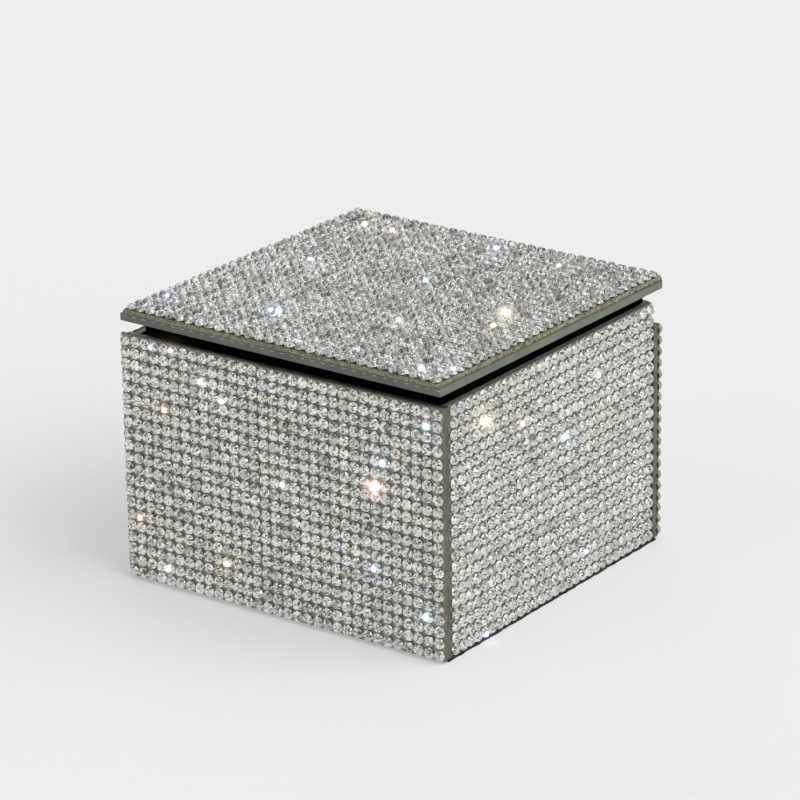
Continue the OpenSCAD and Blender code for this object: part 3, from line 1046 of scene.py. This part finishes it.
@dataclass(frozen=True)
class Hinges:
    """The brass hinges, pins and slotted screws."""

    slot_width: float = 0.26 * MM
    slot_length: float = 2.08 * MM
    slot_depth: float = 0.22 * MM
    slot_turn: float = 900.0
    break_width: float = 0.06 * MM

    def build(self, nodes: dict[str, bpy.types.Object]) -> None:
        """Makes the hinges' parts in brass.

        Args:
            nodes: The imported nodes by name.
        """
        self.screws(nodes["hinge_body_screws"], "body", Vector((0, 1, 0)))
        self.screws(nodes["hinge_lid_screws"], "lid", Vector((0, 0, -1)))
        for name, node in nodes.items():
            if name.endswith("_leaf"):
                self.leaf(node, "body" if "body" in name else "lid")
            elif name.endswith("_pin"):
                BRASS.dress(node)

    def leaf(self, node: bpy.types.Object, body: str) -> None:
        """Makes one leaf with its edges lightly broken.

        Args:
            node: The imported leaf.
            body: The body it moves with.
        """
        bm = merged_copy(node)
        soften(bm, self.break_width, 1)
        settle(BRASS.dress(piece_from(bm, node.name + "_brass")), body, "hinge_brass", node.name)

    def screws(self, node: bpy.types.Object, body: str, out: Vector) -> None:
        """Cuts a driver's slot across each head of a group of screws.

        Args:
            node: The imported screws.
            body: The body they move with.
            out: The direction that the heads face.
        """
        low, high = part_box(node.name)
        face = max(low.dot(out), high.dot(out))
        bm = merged_copy(node)
        cutters = bmesh.new()
        for flat in bm.faces:
            middle = flat.calc_center_median()
            if flat.normal.dot(out) > 0.9 and face - middle.dot(out) < 0.01 * MM:
                turn = Matrix.Rotation(middle.x * self.slot_turn, 3, "Z")
                facing = out.to_track_quat("Z", "X").to_matrix() @ turn
                place = Matrix.Translation(middle) @ facing.to_4x4()
                size = Matrix.Diagonal((self.slot_length, self.slot_width, 2 * self.slot_depth, 1.0))
                bmesh.ops.create_cube(cutters, size=1.0, matrix=place @ size)
        tool = piece_from(cutters, "slot_cutter")
        piece = piece_from(bm, node.name + "_slotted")
        cut = piece.modifiers.new("slots", "BOOLEAN")
        cut.operation, cut.object, cut.solver = "DIFFERENCE", tool, "EXACT"
        graph = bpy.context.evaluated_depsgraph_get()
        done = bpy.data.meshes.new_from_object(piece.evaluated_get(graph))
        piece.modifiers.clear()
        piece.data = done
        bpy.data.objects.remove(tool)
        settle(BRASS.dress(piece), body, "screw_brass", node.name)


# --------------------------------------------------------------------------------------- the studio


@dataclass(frozen=True)
class Panel:
    """A soft round patch of light in the surroundings."""

    direction: tuple[float, float, float]
    power: float
    inner: float = 0.95
    outer: float = 0.80


@dataclass(frozen=True)
class Studio:
    """A pale seamless floor under soft light, and the camera."""

    floor_tone: float = 0.50
    floor_glow: float = 0.352
    room: float = 0.20
    key: float = 1.7
    panels: tuple[Panel, ...] = (
        Panel((0.15, 0.0, 1.0), 0.40, 0.95, 0.40),
        Panel((-0.25, 0.45, 0.9), 0.7, 0.975, 0.94),
        Panel((0.9, -0.35, 0.45), 1.45),
        Panel((0.5, 0.85, 0.35), 0.85),
        Panel((-0.6, -0.75, 0.35), 0.8, 0.93),
        Panel((-0.75, 0.6, 0.35), 1.3, 0.97, 0.92),
    )
    backdrop: float = 0.848
    sun_from: tuple[float, float, float] = (0.85, 0.15, 0.8)
    sun_spread: float = 60.0
    glow_threshold: float = 1.2
    glow_size: float = 0.02
    azimuth: float = 35.97
    elevation: float = 20.47
    roll: float = -0.83
    distance: float = 1044.6 * MM
    lens: float = 183.1
    aim_side: float = -0.2 * MM
    aim_depth: float = -0.8 * MM
    aim_height: float = 33.0 * MM
    aim_right: float = 1.69 * MM
    aim_up: float = 10.04 * MM

    def build(self) -> None:
        """Makes the floor, the light and the camera."""
        self.make_floor()
        self.make_world()
        self.make_sun()
        self.make_camera()
        self.make_glow()
        bpy.context.scene.view_settings.view_transform = "Standard"

    def make_floor(self) -> None:
        """Makes the floor, a plain pale surface lit a little from below."""
        bm = bmesh.new()
        bmesh.ops.create_grid(bm, x_segments=1, y_segments=1, size=6.0)
        floor = piece_from(bm, "studio_floor")
        paint = bpy.data.materials.new("pale_floor")
        paint.use_nodes = True
        shader = paint.node_tree.nodes["Principled BSDF"]
        shader.inputs["Base Color"].default_value = grey(self.floor_tone)
        shader.inputs["Roughness"].default_value = 1.0
        shader.inputs["Specular IOR Level"].default_value = 0.0
        shader.inputs["Emission Color"].default_value = grey(1.0)
        shader.inputs["Emission Strength"].default_value = self.floor_glow
        floor.data.materials.append(paint)

    def make_world(self) -> None:
        """Makes the surrounding light: large soft panels on a dim room, and a plain pale backdrop."""
        world = bpy.data.worlds.new("studio")
        bpy.context.scene.world = world
        world.use_nodes = True
        tree = world.node_tree
        tree.nodes.clear()
        where = tree.nodes.new("ShaderNodeTexCoord")
        total = None
        for panel in self.panels:
            dot = tree.nodes.new("ShaderNodeVectorMath")
            dot.operation = "DOT_PRODUCT"
            dot.inputs[1].default_value = Vector(panel.direction).normalized()
            tree.links.new(where.outputs["Generated"], dot.inputs[0])
            ramp = tree.nodes.new("ShaderNodeMapRange")
            ramp.interpolation_type = "SMOOTHSTEP"
            ramp.inputs["From Min"].default_value = panel.outer
            ramp.inputs["From Max"].default_value = panel.inner
            ramp.inputs["To Max"].default_value = panel.power
            tree.links.new(dot.outputs["Value"], ramp.inputs["Value"])
            add = tree.nodes.new("ShaderNodeMath")
            add.operation = "ADD"
            add.inputs[0].default_value = self.room
            if total:
                tree.links.new(total, add.inputs[0])
            tree.links.new(ramp.outputs["Result"], add.inputs[1])
            total = add.outputs[0]
        lit = tree.nodes.new("ShaderNodeBackground")
        tree.links.new(total, lit.inputs["Strength"])
        plain = tree.nodes.new("ShaderNodeBackground")
        plain.inputs["Color"].default_value = grey(self.backdrop)
        path = tree.nodes.new("ShaderNodeLightPath")
        mix = tree.nodes.new("ShaderNodeMixShader")
        out = tree.nodes.new("ShaderNodeOutputWorld")
        tree.links.new(path.outputs["Is Camera Ray"], mix.inputs["Fac"])
        tree.links.new(lit.outputs[0], mix.inputs[1])
        tree.links.new(plain.outputs[0], mix.inputs[2])
        tree.links.new(mix.outputs[0], out.inputs["Surface"])

    def make_sun(self) -> None:
        """Makes the one directional light, wide enough for a soft shadow."""
        lamp = bpy.data.lights.new("soft_key", "SUN")
        lamp.energy = self.key
        lamp.angle = math.radians(self.sun_spread)
        sun = bpy.data.objects.new("soft_key", lamp)
        sun.visible_glossy = False
        sun.rotation_euler = Vector(self.sun_from).to_track_quat("Z", "Y").to_euler()
        bpy.context.scene.collection.objects.link(sun)

    def make_glow(self) -> None:
        """Gives the brightest glints a small soft halo."""
        scene = bpy.context.scene
        scene.use_nodes = True
        tree = scene.node_tree
        tree.nodes.clear()
        layers = tree.nodes.new("CompositorNodeRLayers")
        glare = tree.nodes.new("CompositorNodeGlare")
        glare.glare_type = "BLOOM"
        glare.inputs["Threshold"].default_value = self.glow_threshold
        glare.inputs["Strength"].default_value = 1.0
        glare.inputs["Size"].default_value = self.glow_size
        out = tree.nodes.new("CompositorNodeComposite")
        tree.links.new(layers.outputs["Image"], glare.inputs["Image"])
        tree.links.new(glare.outputs["Image"], out.inputs["Image"])

    def make_camera(self) -> None:
        """Makes the camera."""
        a, e, t = (math.radians(v) for v in (self.azimuth, self.elevation, self.roll))
        away = Vector((math.sin(a) * math.cos(e), -math.cos(a) * math.cos(e), math.sin(e)))
        level = Vector((math.cos(a), math.sin(a), 0.0))
        high = away.cross(level)
        right = level * math.cos(t) + high * math.sin(t)
        up = high * math.cos(t) - level * math.sin(t)
        data = bpy.data.cameras.new("camera")
        data.lens = self.lens
        data.sensor_width = 36.0
        data.clip_start, data.clip_end = 0.05, 20.0
        camera = bpy.data.objects.new("camera", data)
        where = Vector((self.aim_side, self.aim_depth, self.aim_height)) + away * self.distance
        where += right * self.aim_right + up * self.aim_up
        turn = Matrix((right, up, away)).transposed().to_4x4()
        camera.matrix_world = Matrix.Translation(where) @ turn
        bpy.context.scene.collection.objects.link(camera)
        bpy.context.scene.camera = camera


def main() -> None:
    """Builds the box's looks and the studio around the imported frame."""
    logging.basicConfig(level=logging.INFO, format="%(message)s")
    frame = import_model()
    Studio().build()
    nodes = frame["nodes"]
    GlassWork().build(nodes)
    Boards().build(nodes)
    Linings().build(nodes)
    Hinges().build(nodes)
    StoneCover().build()


if __name__ == "__main__":
    main()
